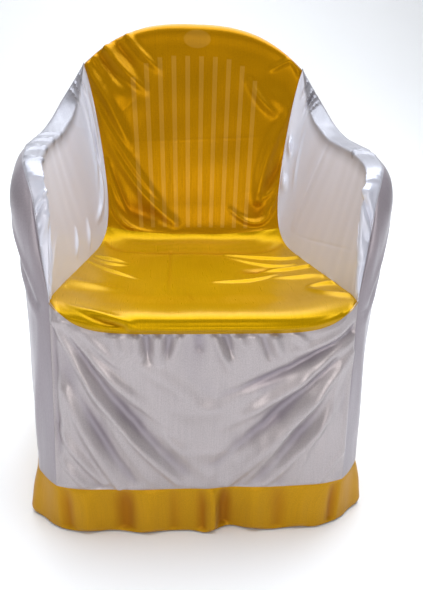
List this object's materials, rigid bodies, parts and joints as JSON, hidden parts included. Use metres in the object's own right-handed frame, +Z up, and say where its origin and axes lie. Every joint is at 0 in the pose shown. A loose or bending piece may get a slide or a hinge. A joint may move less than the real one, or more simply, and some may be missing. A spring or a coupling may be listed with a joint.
{
  "type": "fitted armchair cover",
  "caption": "Fitted satin cover that slips over a plastic armchair, with a gold seat and back, white arms and skirt, and a gold hem band.",
  "frame": {"origin": "point under the middle of the cover's top rim, where the chair's top rail carries it", "axes": "+Z up, +X to the right of someone who looks at the front, +Y towards the back"},
  "size_m": [0.629, 0.5905, 0.825],
  "materials": {
    "gold_satin": "glossy gold polyester satin",
    "white_satin": "glossy white polyester satin with a silvery lavender shade",
    "hem_satin": "gold polyester satin, duller than the seat"
  },
  "bodies": {
    "root": {"seat_panel": "gold_satin", "back_panel_inner": "gold_satin", "arm_panel_left": "white_satin", "arm_panel_right": "white_satin", "side_panel_left": "white_satin", "side_panel_right": "white_satin", "front_panel": "white_satin", "back_panel_outer": "white_satin", "band_front": "hem_satin", "band_left": "hem_satin", "band_right": "hem_satin", "band_back": "hem_satin"}
  },
  "joints": []
}
